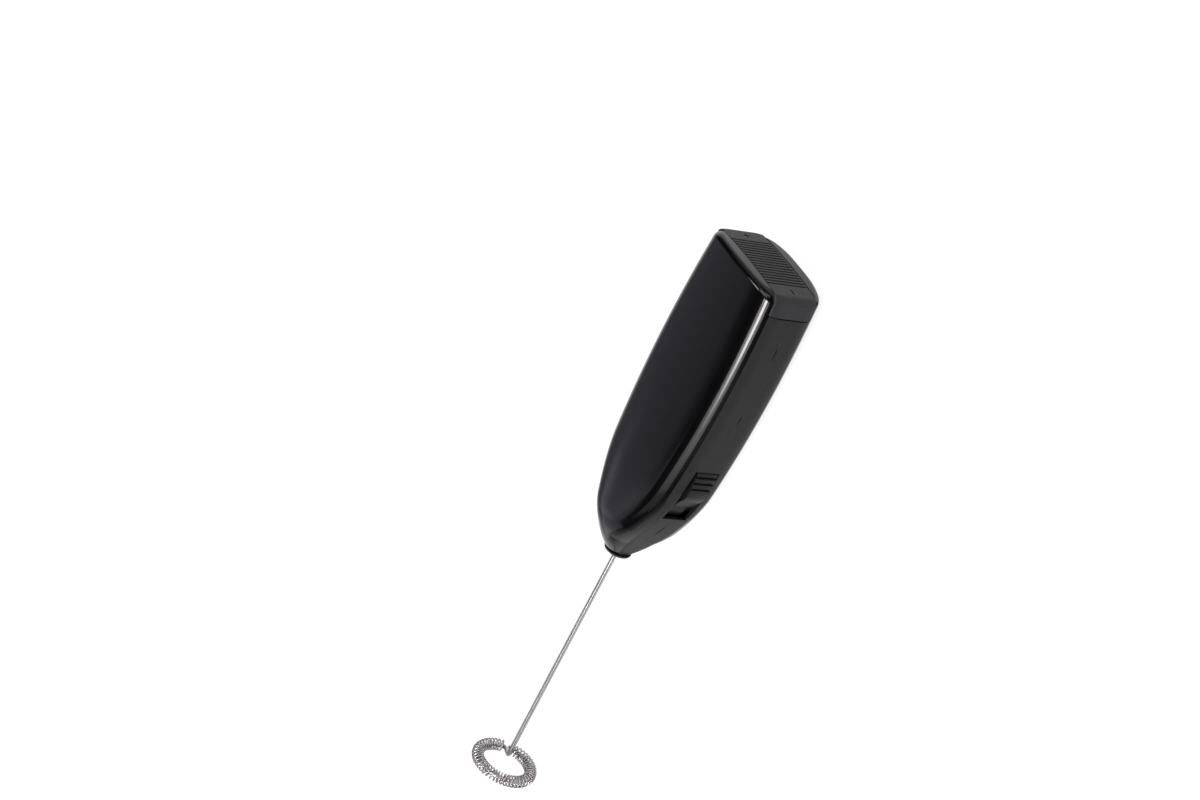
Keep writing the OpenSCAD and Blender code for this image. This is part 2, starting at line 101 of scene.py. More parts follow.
END_HALF = float(half_w(HANDLE_LEN))
SLOT_HALF = COVER_W / 2 + 0.15
TOP_U = HANDLE_LEN - 2.3
SKIRT_U = HANDLE_LEN - END_DROP - SKIRT_LEN
GROOVE_U = TOP_U + 0.05         # the grooves in the rims that the cover's tongues slide in
GROOVE_SIZE = 0.9
WINDOW_U = WINDOW_END - WINDOW_LEN * math.cos(math.radians(9))
SWITCH_ANGLE = math.atan((half_w(WINDOW_END) - half_w(WINDOW_U)) / (WINDOW_END - WINDOW_U))
SWITCH = Matrix.Translation((NOSE_X + (WINDOW_U + WINDOW_END) / 2,
                             -(half_w(WINDOW_U) + half_w(WINDOW_END)) / 2, AXIS_Z)) \
    @ Matrix.Rotation(-SWITCH_ANGLE, 4, "Z")


def dome(y):
    """How far the battery end has fallen at y."""
    return END_DROP * (y / END_HALF) ** 2


# ---------------------------------------------------------------------------------------------
# Mesh helpers
# ---------------------------------------------------------------------------------------------
def make_object(name, verts_mm, faces):
    mesh = bpy.data.meshes.new(name)
    mesh.from_pydata([tuple(float(c) * MM for c in v) for v in verts_mm], [], faces)
    mesh.validate()
    bm = bmesh.new()
    bm.from_mesh(mesh)
    bmesh.ops.recalc_face_normals(bm, faces=bm.faces)
    bm.to_mesh(mesh)
    bm.free()
    obj = bpy.data.objects.new(name, mesh)
    bpy.context.scene.collection.objects.link(obj)
    return obj


def loft_data(rings, closed=False):
    """Vertices and faces over rings of equal length; closed joins the last ring to the first."""
    n, count = len(rings[0]), len(rings)
    verts = [p for ring in rings for p in ring]
    faces = []
    for i in range(count if closed else count - 1):
        for j in range(n):
            a, b = i * n + j, i * n + (j + 1) % n
            c = (i + 1) % count * n
            faces.append((a, b, c + (j + 1) % n, c + j))
    if not closed:
        faces.append(tuple(range(n - 1, -1, -1)))
        faces.append(tuple((count - 1) * n + j for j in range(n)))
    return verts, faces


def loft(name, rings, closed=False):
    return make_object(name, *loft_data(rings, closed))


def block(low, high, matrix=None):
    """Vertices and faces of one block; matrix is in millimetres."""
    corners = [Vector((x, y, z)) for x in (low[0], high[0]) for y in (low[1], high[1])
               for z in (low[2], high[2])]
    if matrix is not None:
        corners = [matrix @ c for c in corners]
    return corners, [(0, 1, 3, 2), (4, 6, 7, 5), (0, 4, 5, 1), (2, 3, 7, 6), (0, 2, 6, 4), (1, 5, 7, 3)]


def bar(u0, u1, y0, y1, z0, z1):
    """A block by u, y and height over the axis."""
    return block((NOSE_X + u0, y0, AXIS_Z + z0), (NOSE_X + u1, y1, AXIS_Z + z1))


def merged(name, parts):
    verts, faces = [], []
    for v, f in parts:
        base = len(verts)
        verts += list(v)
        faces += [tuple(base + k for k in face) for face in f]
    return make_object(name, verts, faces)


def apply_modifiers(obj):
    bpy.context.view_layer.update()
    depsgraph = bpy.context.evaluated_depsgraph_get()
    mesh = bpy.data.meshes.new_from_object(obj.evaluated_get(depsgraph))
    old = obj.data
    obj.modifiers.clear()
    obj.data = mesh
    bpy.data.meshes.remove(old)
    return obj


def cut(obj, cutters):
    for c in cutters:
        m = obj.modifiers.new("cut", "BOOLEAN")
        m.operation = "DIFFERENCE"
        m.solver = "EXACT"
        m.object = c
        apply_modifiers(obj)
    for c in cutters:
        bpy.data.objects.remove(c)
    return obj


def bevel(obj, width_mm, segments=2, angle=35):
    m = obj.modifiers.new("bevel", "BEVEL")
    m.width = width_mm * MM
    m.segments = segments
    m.limit_method = "ANGLE"
    m.angle_limit = math.radians(angle)
    m.harden_normals = False
    return apply_modifiers(obj)


def smooth(obj, angle=30):
    obj.data.shade_smooth()
    obj.data.set_sharp_from_angle(angle=math.radians(angle))
    return obj


def unit(v):
    return v / np.linalg.norm(v, axis=-1, keepdims=True)


def tube_rings(points, radius, sides, first=(0.0, 0.0, 1.0)):
    """Rings of a tube along points, turned without twist. radius is one number or one a point."""
    points = np.array(points, float)
    tangents = unit(np.gradient(points, axis=0))
    radii = np.broadcast_to(radius, len(points))
    side = unit(np.cross(tangents[0], first))
    rings = []
    for p, t, r in zip(points, tangents, radii):
        side = unit(side - t * np.dot(side, t))
        other = np.cross(t, side)
        rings.append([p + r * (side * math.cos(q) + other * math.sin(q))
                      for q in np.arange(sides) * 2 * math.pi / sides])
    return rings


def rounded_tube(name, points, radius, sides, first=(0.0, 0.0, 1.0), steps=4):
    """A tube whose two ends are rounded over."""
    points = np.array(points, float)
    head, tail = unit(points[0] - points[1]), unit(points[-1] - points[-2])
    angles = np.linspace(0, math.pi / 2 * 0.97, steps + 1)[1:]
    start = [points[0] + head * radius * (math.sin(a) - 1) for a in angles[::-1]]
    end = [points[-1] + tail * radius * (math.sin(a) - 1) for a in angles]
    inner = points[1:-1]
    path = np.vstack([start, inner, end])
    radii = np.concatenate([radius * np.cos(angles[::-1]), np.full(len(inner), radius),
                            radius * np.cos(angles)])
    return smooth(loft(name, tube_rings(path, radii, sides, first)), 60)


def lathe(name, profile, sides=96, centre=(0.0, AXIS_Z)):
    """A closed profile of (u, radius) turned about a line along X through centre."""
    rings = []
    for k in range(sides):
        q = 2 * math.pi * k / sides
        rings.append([(NOSE_X + u, centre[0] + r * math.cos(q), centre[1] + r * math.sin(q))
                      for u, r in profile])
    n = len(profile)
    verts = [p for ring in rings for p in ring]
    faces = [(i * n + j, i * n + (j + 1) % n, (i + 1) % sides * n + (j + 1) % n, (i + 1) % sides * n + j)
             for i in range(sides) for j in range(n)]
    return make_object(name, verts, faces)


def solid_lathe(name, profile, sides=64, centre=(0.0, AXIS_Z)):
    """Like lathe, for a profile that starts and ends on the line: the two ends close in a fan."""
    n = len(profile) - 2
    verts = [(NOSE_X + profile[0][0], centre[0], centre[1])]
    for k in range(sides):
        q = 2 * math.pi * k / sides
        verts += [(NOSE_X + u, centre[0] + r * math.cos(q), centre[1] + r * math.sin(q))
                  for u, r in profile[1:-1]]
    verts.append((NOSE_X + profile[-1][0], centre[0], centre[1]))
    faces = []
    for k in range(sides):
        a, b = 1 + k * n, 1 + (k + 1) % sides * n
        faces.append((0, b, a))
        faces += [(a + j, b + j, b + j + 1, a + j + 1) for j in range(n - 1)]
        faces.append((a + n - 1, b + n - 1, len(verts) - 1))
    return make_object(name, verts, faces)


# ---------------------------------------------------------------------------------------------
# Materials: one function for each finish
# ---------------------------------------------------------------------------------------------
class Finish:
    """A Principled material with object-space detail."""

    def __init__(self, slot, colour, roughness, metallic=0.0, **sockets):
        self.slot = slot
        self.material = bpy.data.materials.new(slot)
        self.material.use_nodes = True
        self.tree = self.material.node_tree
        self.bsdf = self.tree.nodes["Principled BSDF"]
        self.bsdf.inputs["Base Color"].default_value = (*colour, 1)
        self.bsdf.inputs["Roughness"].default_value = roughness
        self.bsdf.inputs["Metallic"].default_value = metallic
        for name, value in sockets.items():
            self.bsdf.inputs[name.replace("_", " ")].default_value = value
        self.place = self.node("ShaderNodeTexCoord").outputs["Object"]
        self.bumps = None

    def node(self, kind, **values):
        n = self.tree.nodes.new(kind)
        for key, value in values.items():
            setattr(n, key, value)
        return n

    def link(self, a, b):
        self.tree.links.new(a, b)

    def noise(self, size_mm, detail=3.0, stretch=(1, 1, 1), distortion=0.0):
        """Noise whose features are about size_mm across, drawn out by stretch."""
        mapping = self.node("ShaderNodeMapping")
        mapping.inputs["Scale"].default_value = [1000 / (size_mm * s) for s in stretch]
        self.link(self.place, mapping.inputs["Vector"])
        n = self.node("ShaderNodeTexNoise")
        n.inputs["Scale"].default_value = 1.0
        n.inputs["Detail"].default_value = detail
        n.inputs["Distortion"].default_value = distortion
        self.link(mapping.outputs["Vector"], n.inputs["Vector"])
        return n.outputs["Fac"]

    def bands(self, size_mm, direction="X", distortion=0.0):
        """Fine parallel bands, size_mm apart."""
        mapping = self.node("ShaderNodeMapping")
        mapping.inputs["Scale"].default_value = [1000 / size_mm / 3.18] * 3
        self.link(self.place, mapping.inputs["Vector"])
        n = self.node("ShaderNodeTexWave", wave_type="BANDS", bands_direction=direction)
        n.inputs["Scale"].default_value = 1.0
        n.inputs["Distortion"].default_value = distortion
        n.inputs["Detail"].default_value = 1.0
        self.link(mapping.outputs["Vector"], n.inputs["Vector"])
        return n.outputs["Fac"]

    def spread(self, value, low, high, start=0.3, stop=0.7):
        """value from start..stop mapped to low..high."""
        n = self.node("ShaderNodeMapRange")
        for key, number in (("From Min", start), ("From Max", stop), ("To Min", low), ("To Max", high)):
            n.inputs[key].default_value = number
        self.link(value, n.inputs["Value"])
        return n.outputs["Result"]

    def mix(self, mask, a, b):
        """Colours a and b by mask."""
        n = self.node("ShaderNodeMix", data_type="RGBA")
        for key, colour in ((6, a), (7, b)):
            if hasattr(colour, "is_linked"):
                self.link(colour, n.inputs[key])
            else:
                n.inputs[key].default_value = (*colour, 1)
        self.link(mask, n.inputs[0])
        return n.outputs[2]

    def blend(self, mask, a, b):
        """Numbers a and b by mask."""
        n = self.node("ShaderNodeMix", data_type="FLOAT")
        for key, value in ((2, a), (3, b)):
            if hasattr(value, "is_linked"):
                self.link(value, n.inputs[key])
            else:
                n.inputs[key].default_value = value
        self.link(mask, n.inputs[0])
        return n.outputs[0]

    def attribute(self, name):
        return self.node("ShaderNodeAttribute", attribute_name=name).outputs["Fac"]

    def colour(self, value):
        self.link(value, self.bsdf.inputs["Base Color"])
        return self

    def roughness(self, value):
        self.link(value, self.bsdf.inputs["Roughness"])
        return self

    def bump(self, value, depth_mm, strength=1.0):
        n = self.node("ShaderNodeBump")
        n.inputs["Strength"].default_value = strength
        n.inputs["Distance"].default_value = depth_mm * MM
        self.link(value, n.inputs["Height"])
        if self.bumps is not None:
            self.link(self.bumps, n.inputs["Normal"])
        self.bumps = n.outputs["Normal"]
        self.link(self.bumps, self.bsdf.inputs["Normal"])
        return self


def handle_black():
    """Glossy black ABS on the broad faces, fine matte spark grain on the narrow sides."""
    f = Finish("handle_black", (0.002, 0.002, 0.0022), 0.14, IOR=1.35)
    matte = f.spread(f.attribute("side_share"), 1, 0, HALF_MATTE - 0.012, HALF_MATTE + 0.012)
    gloss_colour = f.mix(f.spread(f.noise(16, 4), 0, 1), (0.0014, 0.0014, 0.0017), (0.0021, 0.0021, 0.0024))
    matte_colour = f.mix(f.spread(f.noise(5, 5), 0, 1), (0.006, 0.006, 0.0069), (0.008, 0.008, 0.0091))
    f.colour(f.mix(matte, gloss_colour, matte_colour))
    gloss_rough = f.spread(f.noise(9, 5, (3, 1, 1)), 0.12, 0.17)
    matte_rough = f.spread(f.noise(0.6, 3), 0.5, 0.62)
    f.roughness(f.blend(matte, gloss_rough, matte_rough))
    f.bump(f.noise(2.4, 2), 0.0035)
    f.bump(f.blend(matte, f.noise(0.5, 2, (6, 1, 1)), f.noise(0.16, 2)), 0.0016)
    return f


def cover_black():
    f = Finish("cover_black", (0.017, 0.017, 0.019), 0.48, IOR=1.33)
    f.colour(f.mix(f.spread(f.noise(4, 5), 0, 1), (0.0125, 0.0123, 0.0142), (0.0165, 0.0163, 0.0183)))
    f.roughness(f.spread(f.noise(0.8, 3), 0.42, 0.56))
    return f.bump(f.noise(0.16, 2), 0.002)


def collar_black():
    f = Finish("collar_black", (0.010, 0.010, 0.011), 0.42, IOR=1.48)
    f.colour(f.mix(f.spread(f.noise(1.5, 4), 0, 1), (0.008, 0.008, 0.009), (0.013, 0.013, 0.014)))
    f.roughness(f.spread(f.noise(0.7, 3), 0.34, 0.5))
    return f.bump(f.bands(0.35, "X"), 0.002).bump(f.noise(0.2, 2), 0.0015)


def switch_black():
    f = Finish("switch_black", (0.004, 0.004, 0.0045), 0.38, IOR=1.27)
    f.colour(f.mix(f.spread(f.noise(2.5, 4), 0, 1), (0.0034, 0.0034, 0.0038), (0.005, 0.005, 0.0056)))
    f.roughness(f.spread(f.noise(0.7, 3), 0.34, 0.48))
    return f.bump(f.noise(0.14, 2), 0.0018)


def frame_plastic():
    f = Finish("frame_plastic", (0.05, 0.05, 0.055), 0.6)
    f.colour(f.mix(f.spread(f.noise(6, 4), 0, 1), (0.042, 0.042, 0.047), (0.06, 0.06, 0.065)))
    f.roughness(f.spread(f.noise(1.2, 3), 0.5, 0.7))
    return f.bump(f.noise(0.3, 3), 0.006)


def metal(slot, dark, light, roughness, size_mm, stretch=(1, 1, 1), depth=0.002, detail=4.0):
    """A drawn, turned or stamped metal: tint and roughness in streaks along stretch."""
    f = Finish(slot, light, sum(roughness) / 2, 1.0)
    streaks = f.noise(size_mm, detail, stretch)
    f.colour(f.mix(f.spread(streaks, 0, 1), dark, light))
    f.roughness(f.spread(f.noise(size_mm * 1.7, 3, stretch), *roughness))
    return f.bump(streaks, depth)


def contact_brass():
    return metal("contact_brass", (0.6, 0.42, 0.17), (0.76, 0.58, 0.27), (0.24, 0.4), 0.5, (5, 1, 1))


def contact_nickel():
    return metal("contact_nickel", (0.6, 0.59, 0.56), (0.76, 0.75, 0.72), (0.2, 0.36), 0.5, (1, 5, 1))


def cell_jacket():
    """A plain grey sleeve, faintly streaked along the cell."""
    f = Finish("cell_jacket", (0.2, 0.22, 0.25), 0.32, Coat_Weight=0.3, Coat_Roughness=0.15)
    f.colour(f.mix(f.spread(f.noise(3, 4, (4, 1, 1)), 0, 1), (0.16, 0.18, 0.21), (0.24, 0.26, 0.29)))
    f.roughness(f.spread(f.noise(1.5, 4, (1, 3, 3)), 0.26, 0.4))
    return f.bump(f.noise(1.2, 3, (1, 4, 4)), 0.004)


def motor_steel():
    f = metal("motor_steel", (0.46, 0.47, 0.48), (0.66, 0.67, 0.68), (0.24, 0.42), 0.9, (4, 1, 1), 0.003)
    return f.bump(f.noise(0.25, 3), 0.0015)


def motor_nylon():
    f = Finish("motor_nylon", (0.78, 0.75, 0.68), 0.5, Subsurface_Weight=0.05)
    f.colour(f.mix(f.spread(f.noise(3, 4), 0, 1), (0.72, 0.69, 0.61), (0.82, 0.79, 0.73)))
    f.roughness(f.spread(f.noise(0.8, 3), 0.42, 0.6))
    return f.bump(f.noise(0.3, 2), 0.004)


def bearing_bronze():
    f = metal("bearing_bronze", (0.4, 0.26, 0.13), (0.58, 0.41, 0.22), (0.4, 0.6), 0.15, (1, 1, 1), 0.006, 5)
    return f.bump(f.noise(0.5, 2), 0.004)


def magnet_ferrite():
    f = Finish("magnet_ferrite", (0.05, 0.05, 0.055), 0.6, 0.3)
    f.colour(f.mix(f.spread(f.noise(0.5, 5), 0, 1), (0.035, 0.035, 0.04), (0.075, 0.075, 0.08)))
    f.roughness(f.spread(f.noise(0.3, 4), 0.5, 0.75))
    return f.bump(f.noise(0.2, 4), 0.006)


def shaft_steel():
    return metal("shaft_steel", (0.6, 0.6, 0.61), (0.74, 0.74, 0.75), (0.12, 0.22), 0.2, (1, 6, 6), 0.001)


def core_steel():
    f = metal("core_steel", (0.26, 0.27, 0.29), (0.4, 0.41, 0.43), (0.4, 0.6), 0.4, (1, 3, 3), 0.002)
    return f.bump(f.bands(0.5, "X"), 0.02)


def winding_copper():
    f = Finish("winding_copper", (0.6, 0.24, 0.09), 0.3, 0.9, Coat_Weight=0.4, Coat_Roughness=0.2)
    # one band per turn of wire: it shapes the bump, and its dark end is painted shade in the grooves between
    # the turns
    turns_and_groove_shade = f.bands(0.28, "Z", 0.4)
    f.colour(f.mix(turns_and_groove_shade, (0.3, 0.1, 0.035), (0.66, 0.28, 0.11)))
    f.roughness(f.spread(f.noise(0.7, 3), 0.24, 0.42))
    return f.bump(turns_and_groove_shade, 0.06)


def commutator_copper():
    return metal("commutator_copper", (0.55, 0.27, 0.13), (0.78, 0.43, 0.24), (0.2, 0.38), 0.3,
                 (1, 6, 6), 0.002)


def washer_plastic():
    f = Finish("washer_plastic", (0.84, 0.81, 0.73), 0.5)
    f.colour(f.mix(f.spread(f.noise(0.8, 3), 0, 1), (0.78, 0.75, 0.66), (0.87, 0.84, 0.77)))
    f.roughness(f.spread(f.noise(0.5, 3), 0.44, 0.58))
    return f.bump(f.noise(0.2, 2), 0.003)


def coupling_plastic():
    f = Finish("coupling_plastic", (0.84, 0.83, 0.79), 0.45)
    f.colour(f.mix(f.spread(f.noise(2, 4), 0, 1), (0.78, 0.77, 0.72), (0.87, 0.86, 0.82)))
    f.roughness(f.spread(f.noise(0.8, 3), 0.38, 0.54))
    return f.bump(f.noise(0.4, 2), 0.004)


def whisk_steel():
    """Bright drawn stainless wire: draw lines along the wire and small scuffs."""
    f = metal("whisk_steel", (0.34, 0.333, 0.332), (0.42, 0.412, 0.408), (0.24, 0.32), 0.3,
              (40, 1, 1), 0.0002)
    return f.bump(f.noise(0.6, 2, (10, 1, 1)), 0.0002)


def coil_steel():
    f = metal("coil_steel", (0.3, 0.287, 0.285), (0.46, 0.443, 0.437), (0.22, 0.34), 0.3, (1, 3, 3), 0.0006)
    return f.bump(f.noise(0.15, 3), 0.0004)


def lead_plastic(slot, dark, light):
    f = Finish(slot, light, 0.42)
    f.colour(f.mix(f.spread(f.noise(1.5, 4), 0, 1), dark, light))
    f.roughness(f.spread(f.noise(0.8, 3), 0.34, 0.5))
    return f.bump(f.noise(0.4, 2), 0.004)


def lead_black():
    return lead_plastic("lead_black", (0.013, 0.013, 0.014), (0.026, 0.026, 0.028))


def lead_red():
    return lead_plastic("lead_red", (0.34, 0.02, 0.015), (0.5, 0.04, 0.03))


def floor_white():
    """Pale seamless paper, lit a little from below as on a light table."""
    f = Finish("studio_paper", (0.16, 0.16, 0.16), 0.9, Specular_IOR_Level=0.1,
               Emission_Color=(1, 1, 1, 1), Emission_Strength=0.88)
    f.colour(f.mix(f.spread(f.noise(90, 3), 0, 1), (0.155, 0.155, 0.155), (0.165, 0.165, 0.165)))
    return f.bump(f.noise(1.2, 3), 0.01)


FINISHES = {f.slot: f for f in (make() for make in (
    handle_black, cover_black, collar_black, switch_black, frame_plastic, contact_brass, contact_nickel,
    cell_jacket, motor_steel, motor_nylon, bearing_bronze, magnet_ferrite, shaft_steel, core_steel,
    winding_copper, commutator_copper, washer_plastic, coupling_plastic, whisk_steel, coil_steel,
    lead_black, lead_red))}


def finish_piece(obj, slot, body, *nodes):
    """Gives a piece its material and its body, and hides the CAD nodes it stands for."""
    obj.data.materials.clear()
    obj.data.materials.append(FINISHES[slot].material)
    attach(obj, body)
    if nodes:
        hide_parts(*nodes)
    return obj


# ---------------------------------------------------------------------------------------------
# The two shells
# ---------------------------------------------------------------------------------------------
SECTION_ARC = 16                # steps round each long edge
SECTION_FACE = 26               # steps across a broad face
SECTION_SIDE = 5                # steps up the flat of the narrow side
SLIT = 0.05                     # half width and depth of the line where the shells meet
SLIT_WIDE = 0.2                 # how much more it opens at a few places
SLIT_DEEPER = 2.2               # how much faster it grows in depth than in width there
SLIT_PLACES = (16.5, 62.0, 85.5)    # u of those places
SLIT_SPANS = (2.6, 1.6, 1.9)    # and half their lengths


def slit(u):
    wide = max(max(0.0, 1 - ((u - p) / s) ** 2) for p, s in zip(SLIT_PLACES, SLIT_SPANS))
    return SLIT + SLIT_WIDE * math.sqrt(wide)


def half_section(w, t, r, flat, pitch, side_cut):
    """Half of a cross-section as (y, z) over the parting plane, as in the CAD but finer."""
    reach = w - r + r * math.sin(pitch)
    band = min(flat, 0.45 * (w - r))
    rise = (reach - band) * math.tan(pitch) / 2
    arc_z = t - rise - r * math.cos(pitch)
    low = min(side_cut, 0.5 * max(arc_z, 0.02))
    side = [(-w + low + SLIT_DEEPER * max(0.0, low - SLIT), 0.0)]
    side += [(-w, low + (arc_z - low) * i / SECTION_SIDE) for i in range(SECTION_SIDE)]
    arc = []
    for i in range(SECTION_ARC + 1):
        a = i * (math.pi / 2 - pitch) / SECTION_ARC
        arc.append((-(w - r) - r * math.cos(a), arc_z + r * math.sin(a)))
    face = []
    for i in range(1, SECTION_FACE):
        y = reach * (2 * i / SECTION_FACE - 1)
        face.append((y, t - rise * (max(0.0, abs(y) - band) / (reach - band)) ** 2))
    back = [(-y, z) for y, z in reversed(side + arc)]
    return side + arc + face + back


def shell_section(u, inset, flat, side_cut=0.0, side_inset=0.0):
    """The section at u, moved inwards by inset, and by side_inset at the narrow sides."""
    w, t = float(half_w(u)) - max(inset, side_inset), float(half_t(u)) - inset
    r = min(EDGE_R - inset, w - 0.05, t - 0.05)
    pitch = math.atan(2 * CROWN / (HANDLE_W / 2 - EDGE_R - flat))
    return half_section(w, t, r, flat, pitch, side_cut)


def skin_rings(side, flat):
    """Rings over the outside of one half, from the nose tip to the inner edge of the end rim."""
    stations = np.concatenate([np.linspace(0, 18, 37), np.linspace(18, HANDLE_LEN - 4.2, 72)[1:]])
    rings = [[(NOSE_X + u, y, side * z + AXIS_Z) for y, z in shell_section(u, SKIN, flat, slit(u))]
             for u in stations]
    for a in np.linspace(0, math.pi / 2, 15):
        fall = 1 - math.sin(a)
        u = HANDLE_LEN - CORNER_R * fall
        inset = SKIN + (END_R - SKIN) * (1 - math.cos(a))
        side_inset = SKIN + (CORNER_R - SKIN) * (1 - math.cos(a))
        core = float(half_w(u)) - side_inset - EDGE_R + inset
        ring = []
        for y, z in shell_section(u, inset, flat, SLIT, side_inset):
            k = max(0.0, abs(y) - core) / (EDGE_R - inset)
            r = END_R + (CORNER_R - END_R) * k * k
            ring.append((NOSE_X + HANDLE_LEN - SKIN - dome(y) - r * fall, y, side * z + AXIS_Z))
        rings.append(ring)
    return rings


def skin_normals(rings, side):
    """Outward normals at the ring points, from the rings themselves."""
    grid = np.array(rings)
    along = np.gradient(grid, axis=0)
    # the side's first point lies in the slit: it takes its neighbour's direction
    across = np.empty_like(grid)
    across[:, 1:-1] = grid[:, 2:] - grid[:, :-2]
    across[:, 1] = grid[:, 2] - grid[:, 1]
    across[:, -2] = grid[:, -2] - grid[:, -3]
    across[:, 0], across[:, -1] = across[:, 1], across[:, -2]
    normals = unit(np.cross(across, along)) * side
    return grid.reshape(-1, 3), normals.reshape(-1, 3)


def shade_skin(obj, points, normals):
    """Shades the outer skin from its own smooth normals, and every cut face flat."""
    tree = KDTree(len(points))
    for i, p in enumerate(points):
        tree.insert(Vector(p) * MM, i)
    tree.balance()
    mesh = obj.data
    smooth_at = []
    for v in mesh.vertices:
        found = tree.find_n(v.co, 3)
        if found[0][2] < 1e-6:
            n = Vector(normals[found[0][1]])
        else:
            n = Vector((0, 0, 0))
            for _, i, distance in found:
                n += Vector(normals[i]) / (distance + 1e-7)
            n.normalize()
        smooth_at.append((n, found[0][2]))
    loops = [None] * len(mesh.loops)
    for p in mesh.polygons:
        p.use_smooth = True
        for k in p.loop_indices:
            n, distance = smooth_at[mesh.loops[k].vertex_index]
            loops[k] = n if n.dot(p.normal) > 0.86 and distance < 1.4 * MM else p.normal.copy()
    mesh.normals_split_custom_set(loops)
    share = mesh.attributes.new("side_share", "FLOAT", "POINT")
    values = []
    for v in mesh.vertices:
        u = v.co.x / MM - NOSE_X
        towards_nose = float(np.clip((MATTE_NARROWS - u) / MATTE_NARROW_LEN, 0, 1))
        narrow = 1 - MATTE_NARROW_BY * towards_nose ** MATTE_NARROW_POWER
        values.append(abs(v.co.z / MM - AXIS_Z) / float(half_t(u)) / narrow)
    share.data.foreach_set("value", values)


def cavity(side, flat):
    stations = [3.5, 4.5, 6, 7.5, 9, 11, 13, 15, 17.5, 21, 24.5, 28, 31.5, 35, 38.5,
                46, 55, 64, 73, 82, 91, 97.4]
    rings = []
    for u in stations:
        ring = shell_section(u, WALL, flat)
        rings.append([(NOSE_X + u, y, AXIS_Z - side if z == 0 else side * z + AXIS_Z) for y, z in ring[1:-1]])
    return loft("cavity", rings)


def plate_pocket():
    """The room the switch plate slides in; its outer wall falls away where the shell narrows."""
    low, high = PLATE_X[0] - SWITCH_TRAVEL - 0.4, PLATE_X[1] + 0.4
    outline = [(low, PLATE_Y + 0.35), (low + 2.85, PLATE_Y - SNUG), (high, PLATE_Y - SNUG),
               (high, 5), (low, 5)]
    return loft_data([[SWITCH @ Vector((x, y, z)) for x, y in outline] for z in (-5.6, 5.6)])


def shell_cutters(side, flat):
    bore = solid_lathe("bore", [(-1, 0), (-1, BORE_R), (4, BORE_R), (4, 0)], 48)
    slots = [bar(TOP_U, HANDLE_LEN + 1, -END_HALF - 2, END_HALF + 2, -SLOT_HALF, SLOT_HALF),
             bar(97, TOP_U + 0.1, -END_HALF - 2, END_HALF - WALL - 0.6, -SLOT_HALF, SLOT_HALF),
             bar(SKIRT_U - 0.25, 97.1, -END_HALF - 2, -END_HALF + 4, -SLOT_HALF, SLOT_HALF),
             bar(GROOVE_U, GROOVE_U + GROOVE_SIZE, -END_HALF - 2, END_HALF - WALL - 1,
                 -SLOT_HALF - GROOVE_SIZE, SLOT_HALF + GROOVE_SIZE),
             block((-WINDOW_LEN / 2, -3, -WINDOW_W / 2), (WINDOW_LEN / 2, 4, WINDOW_W / 2), SWITCH),
             plate_pocket()]
    return [cavity(side, flat), bore] + [merged("slot", [s]) for s in slots]


def shell(name, side, flat):
    rings = skin_rings(side, flat)
    points, normals = skin_normals(rings, side)
    last = rings[-1]
    lid = [(NOSE_X + HANDLE_LEN - SKIN - dome(y), 0.985 * y,
            AXIS_Z + side * min(abs(z - AXIS_Z), COVER_W / 2 - 0.4)) for x, y, z in last]
    plug_x = lid[0][0] + 0.05
    plug = [(plug_x, 0.97 * y, AXIS_Z + side * min(abs(z - AXIS_Z), COVER_W / 2 - 0.8)) for x, y, z in last]
    obj = loft(name, rings + [lid, plug])
    cut(obj, shell_cutters(side, flat))
    shade_skin(obj, points, normals)
    return obj


finish_piece(shell("front_skin", 1, 0.0), "handle_black", "handle", "front_shell")
finish_piece(shell("rear_skin", -1, REST_HALF), "handle_black", "handle", "rear_shell")


# ---------------------------------------------------------------------------------------------
# Battery cover
# ---------------------------------------------------------------------------------------------
RIB_SPAN = 2 * (END_HALF - 7.6)
GROOVE_DEEP = 0.35
COVER_R = 2.6                   # rounding between the cover's top and its skirt


def cover_profile(z, inset, deep):
    """The cover's outline as (u, y) at height z, moved in by inset, with grooves deep mm deep."""
    over_flat = max(0.0, abs(z) - (HANDLE_T / 2 - EDGE_R))
    w = END_HALF - 0.02 - inset - EDGE_R + math.sqrt(EDGE_R ** 2 - over_flat ** 2)
    core = w - COVER_R
    tilt = float(half_w(HANDLE_LEN - 0.9) - half_w(HANDLE_LEN - 1.1)) / 0.2
    inner_y = -END_HALF + 2.2

    def top(y):
        return HANDLE_LEN - SKIN - inset - dome(y)

    arc_u = top(core) - COVER_R
    pitch = RIB_SPAN / (GROOVES - 1)
    across = (-pitch / 2, -0.35, -0.24, 0, 0.24, 0.35)
    over = []
    for i in range(GROOVES):
        g = RIB_SPAN * (i / (GROOVES - 1) - 0.5)
        over += [(top(g + d) - (deep if abs(d) < 0.3 else 0), g + d) for d in across]
    outside = np.linspace(RIB_SPAN / 2 + pitch / 2, core, 7)
    over = [(top(y), -y) for y in outside[::-1][:-1]] + over + [(top(y), y) for y in outside]
    near = [(arc_u + COVER_R * math.cos(a), -core - COVER_R * math.sin(a))
            for a in np.linspace(math.pi / 2, 0, 11)[:-1]]
    far = [(arc_u + COVER_R * math.cos(a), core + COVER_R * math.sin(a))
           for a in np.linspace(0, math.pi / 3, 8)[1:]]
    skirt = [(u, -w + (arc_u - u) * tilt) for u in np.linspace(SKIRT_U + inset, arc_u, 5)[:-1]]
    under = [(TOP_U + 0.02, w - 0.3), (TOP_U + 0.02, inner_y), (SKIRT_U + inset, inner_y)]
    return skirt + near + over + far + under


